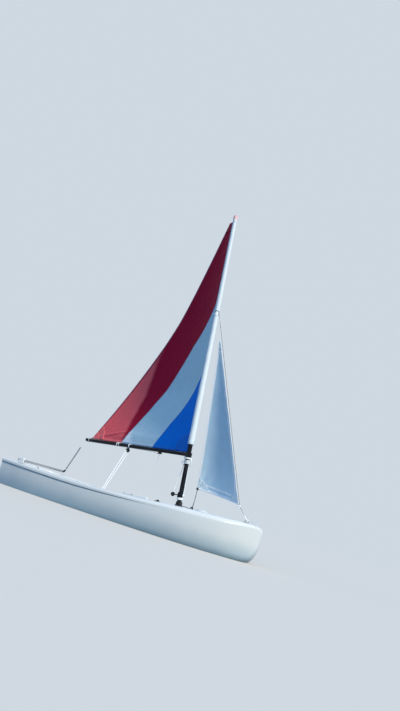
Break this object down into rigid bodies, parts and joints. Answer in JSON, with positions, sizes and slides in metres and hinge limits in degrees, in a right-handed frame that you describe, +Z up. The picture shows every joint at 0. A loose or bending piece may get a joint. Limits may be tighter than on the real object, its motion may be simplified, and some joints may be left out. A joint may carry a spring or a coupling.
{
  "type": "two-person sailing dinghy",
  "caption": "Small moulded sailing dinghy with cockpit, sleeved three-colour mainsail on a boom, jib on a forestay, sliding daggerboard and lifting rudder.",
  "frame": {"origin": "amidships on the centreline, in the plane of the water at rest", "axes": "+X towards the bow along the water, +Y to port, +Z up"},
  "size_m": [3.1127, 1.5034, 4.8062],
  "materials": {
    "hull_white": "smooth moulded",
    "spar_black": "satin",
    "black_plastic": "moulded",
    "white_plastic": "moulded",
    "cap_pink": "woven",
    "steel": "brushed",
    "webbing": "woven",
    "cloth_red": "sailcloth",
    "cloth_white": "sailcloth",
    "cloth_blue": "sailcloth",
    "cloth_sleeve": "sailcloth",
    "cloth_jib": "sailcloth",
    "board_white": "smooth",
    "tiller_alloy": "anodised",
    "rubber": "matt",
    "rope_white": "braided"
  },
  "bodies": {
    "boat": {"hull": "hull_white", "mast_lower": "spar_black", "mast_upper": "spar_black", "mast_joint": "black_plastic", "mast_cap": "cap_pink", "mast_base_collar": "black_plastic", "gooseneck_collar": "black_plastic", "downhaul_cleat": "black_plastic", "hounds_tang": "steel", "forestay": "steel", "bow_fitting": "steel", "bow_handle": "white_plastic", "quarter_pad_starboard": "white_plastic", "quarter_pad_port": "white_plastic", "jib_cleat_starboard": "black_plastic", "jib_cleat_port": "black_plastic", "jib_fairlead_starboard": "black_plastic", "jib_fairlead_port": "black_plastic", "toe_strap_starboard": "webbing", "toe_strap_port": "webbing", "deck_hatch": "white_plastic", "sheet_swivel": "steel", "floor_block": "black_plastic", "drain_bung": "black_plastic", "gudgeon_lower": "steel", "gudgeon_upper": "steel"},
    "boom": {"boom": "spar_black", "boom_end_cap": "black_plastic", "boom_jaw": "black_plastic", "outhaul_cleat": "black_plastic", "boom_block": "black_plastic", "outhaul_tail": "rope_white", "mainsail_red": "cloth_red", "mainsail_white": "cloth_white", "mainsail_blue": "cloth_blue", "luff_sleeve": "cloth_sleeve"},
    "jib": {"jib": "cloth_jib"},
    "daggerboard": {"daggerboard": "board_white", "daggerboard_head": "black_plastic"},
    "rudder_head": {"rudder_stock": "black_plastic", "tiller": "tiller_alloy", "tiller_extension": "tiller_alloy", "extension_joint": "rubber", "blade_bolt": "steel", "pintle_lower": "steel", "pintle_upper": "steel"},
    "rudder_blade": {"rudder_blade": "board_white"}
  },
  "joints": [
    {"name": "boom_swing", "type": "hinge", "parent": "boat", "child": "boom", "pos_m": [0.51439, 0, 0.3589], "axis": [-0.1007, 0, 0.9949], "range_deg": [-64, 116]},
    {"name": "jib_swing", "type": "hinge", "parent": "boat", "child": "jib", "pos_m": [1.15503, 0, 0.52393], "axis": [-0.3746, 0, 0.9272], "range_deg": [-58, 102]},
    {"name": "daggerboard_slide", "type": "slide", "parent": "boat", "child": "daggerboard", "axis": [-0.042, 0, 0.9991], "range_m": [0, 0.6]},
    {"name": "rudder_steer", "type": "hinge", "parent": "boat", "child": "rudder_head", "pos_m": [-1.50173, 0, -0.03805], "axis": [-0.042, 0, 0.9991], "range_deg": [-45, 45]},
    {"name": "rudder_blade_lift", "type": "hinge", "parent": "rudder_head", "child": "rudder_blade", "pos_m": [-1.56525, 0, -0.05073], "axis": [0, 1, 0], "range_deg": [0, 100]}
  ]
}
